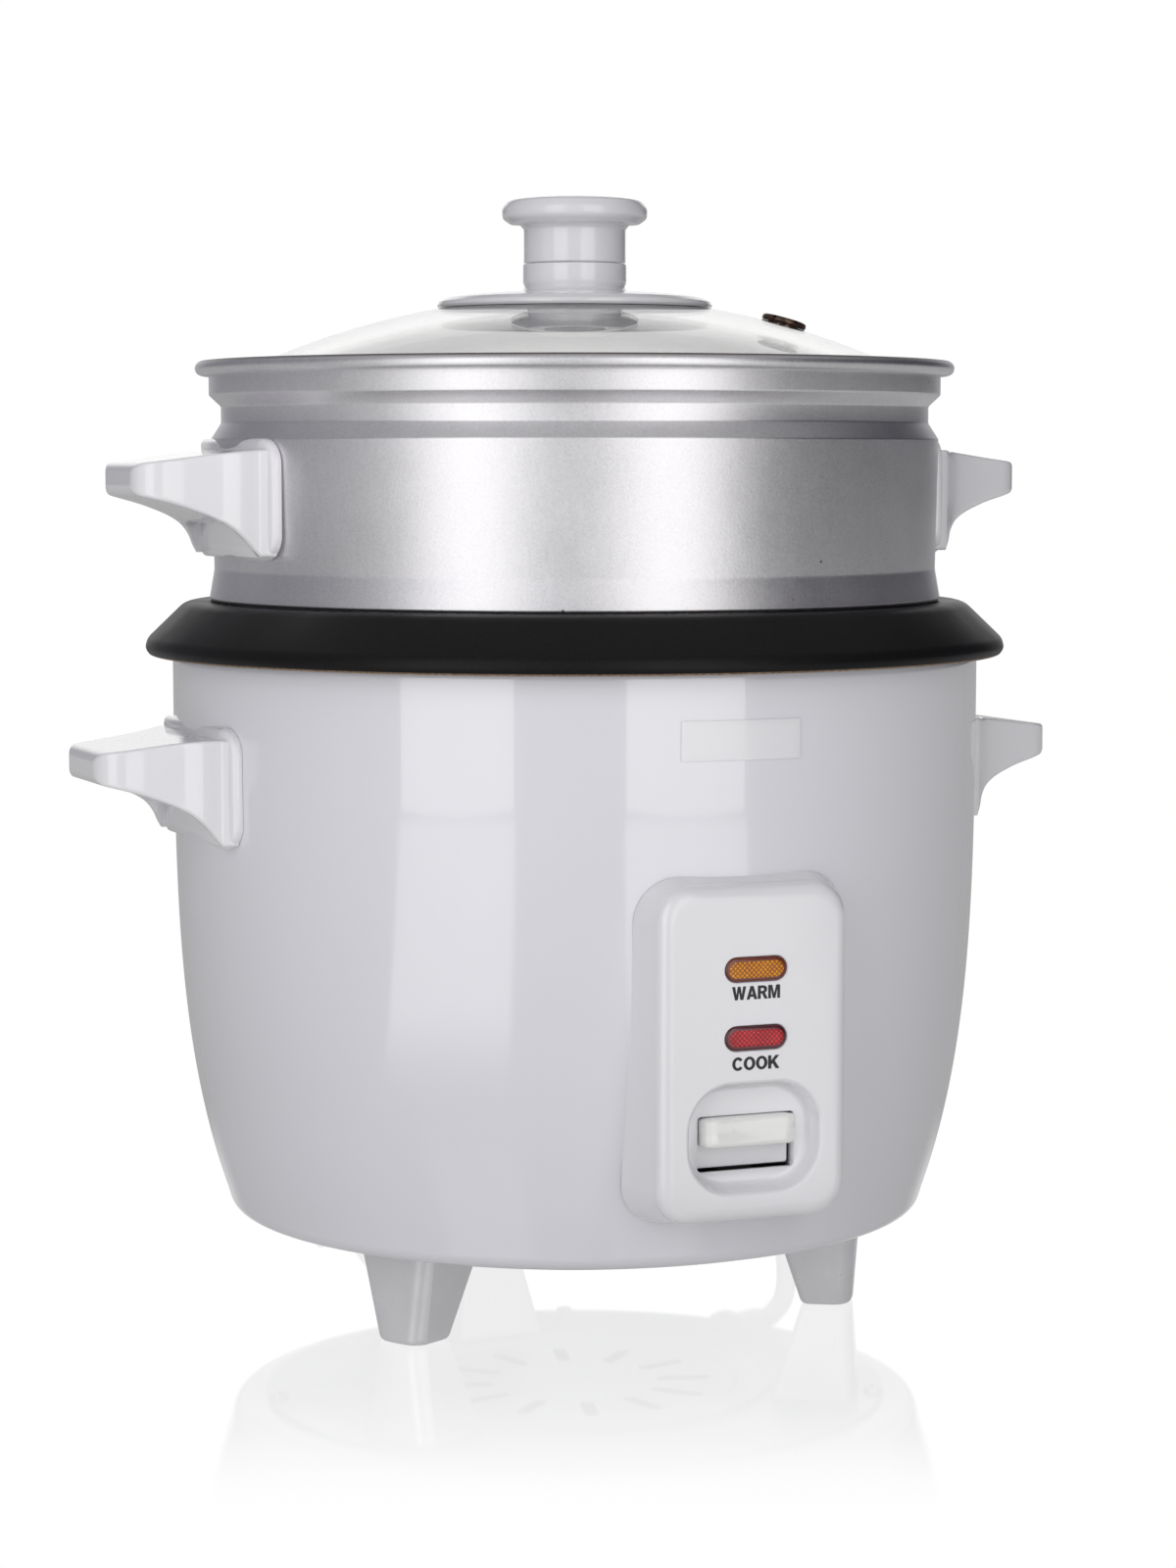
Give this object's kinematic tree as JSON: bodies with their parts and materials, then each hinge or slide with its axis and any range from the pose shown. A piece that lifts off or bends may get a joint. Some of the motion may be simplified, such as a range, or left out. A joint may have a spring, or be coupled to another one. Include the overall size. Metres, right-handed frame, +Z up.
{
  "type": "rice cooker",
  "caption": "Drum rice cooker with white enamelled body, black inner pot, aluminium steamer basket, domed glass lid, ear handles, indicator lenses and a switch paddle.",
  "frame": {"origin": "on the floor, on the drum's vertical axis", "axes": "+Z up along the drum's axis, -Y towards the control panel, handles along X"},
  "size_m": [0.2918, 0.3241, 0.3168],
  "materials": {
    "white_enamel": "gloss",
    "white_plastic": "gloss",
    "grey_feet": "satin metallic",
    "sheet_steel": "satin",
    "cast_alu": "cast",
    "steamer_alu": "satin",
    "nonstick": "matte",
    "dome_glass": "clear",
    "amber_lens": "gloss",
    "red_lens": "gloss",
    "lamp": "clear",
    "spring_steel": "drawn",
    "ferrite": "matte",
    "magnet": "matte",
    "black_plastic": "matte",
    "mica": "matte",
    "wire_sleeve": "matte",
    "cord_jacket": "satin",
    "grommet_bronze": "dark",
    "pin_metal": "polished",
    "badge_film": "gloss"
  },
  "bodies": {
    "root": {"outer_body": "white_enamel", "bottom_plate": "sheet_steel", "inner_liner": "sheet_steel", "heating_plate": "cast_alu", "heater_element": "cast_alu", "plate_posts": "sheet_steel", "plate_screws": "sheet_steel", "keep_warm_heater": "mica", "thermostat_housing": "sheet_steel", "sensor_spring": "spring_steel", "lever_pin": "spring_steel", "lever_bracket": "sheet_steel", "microswitch": "black_plastic", "thermal_fuse": "cast_alu", "terminal_block": "wire_sleeve", "wiring": "wire_sleeve", "indicator_lamps": "lamp", "warm_lens": "amber_lens", "cook_lens": "red_lens", "control_panel": "white_plastic", "panel_screws": "sheet_steel", "body_handle_left": "white_plastic", "body_handle_right": "white_plastic", "body_handle_screws": "sheet_steel", "foot_left": "grey_feet", "foot_right": "grey_feet", "foot_rear": "grey_feet", "foot_screws": "sheet_steel", "bottom_screws": "sheet_steel", "blank_badge": "badge_film", "strain_relief": "cord_jacket", "power_cord": "cord_jacket", "cord_coil": "cord_jacket", "cord_tie": "black_plastic", "cord_tail": "cord_jacket", "plug_body": "cord_jacket", "plug_pins": "pin_metal"},
    "inner_pot": {"inner_pot": "nonstick"},
    "steamer": {"steamer_basket": "steamer_alu", "steamer_handle_left": "white_plastic", "steamer_handle_right": "white_plastic", "steamer_handle_screws": "sheet_steel"},
    "lid": {"lid_glass": "dome_glass", "vent_grommet": "grommet_bronze", "knob_cap": "white_plastic", "knob_base": "white_plastic", "knob_washer": "cast_alu", "knob_screw": "sheet_steel"},
    "switch": {"switch_lever": "sheet_steel", "switch_paddle": "white_plastic"},
    "sensor": {"sensor_cap": "cast_alu", "sensor_ferrite": "ferrite"},
    "plunger": {"magnet_plunger": "magnet"}
  },
  "joints": [
    {"name": "pot_lift", "type": "slide", "parent": "root", "child": "inner_pot", "axis": [0, 0, 1], "range_m": [0, 0.12]},
    {"name": "steamer_lift", "type": "slide", "parent": "inner_pot", "child": "steamer", "axis": [0, 0, 1], "range_m": [0, 0.06]},
    {"name": "lid_lift", "type": "slide", "parent": "steamer", "child": "lid", "axis": [0, 0, 1], "range_m": [0, 0.08]},
    {"name": "switch_press", "type": "hinge", "parent": "root", "child": "switch", "pos_m": [0, -0.055, 0.055], "axis": [1, 0, 0], "range_deg": [0, 5.3], "stiffness_Nm_per_rad": 0.1, "springref_deg": -5.73},
    {"name": "plunger_slide", "type": "slide", "parent": "root", "child": "plunger", "axis": [0, 0, 1], "range_m": [0, 0.0055]},
    {"name": "sensor_press", "type": "slide", "parent": "root", "child": "sensor", "axis": [0, 0, 1], "range_m": [-0.0015, 0], "stiffness_N_per_m": 400, "springref_m": 0.0015, "deforming": ["sensor_spring"]}
  ],
  "couplings": [
    {"joint": "plunger_slide", "follows": "switch_press", "m_per_rad": 0.055}
  ]
}
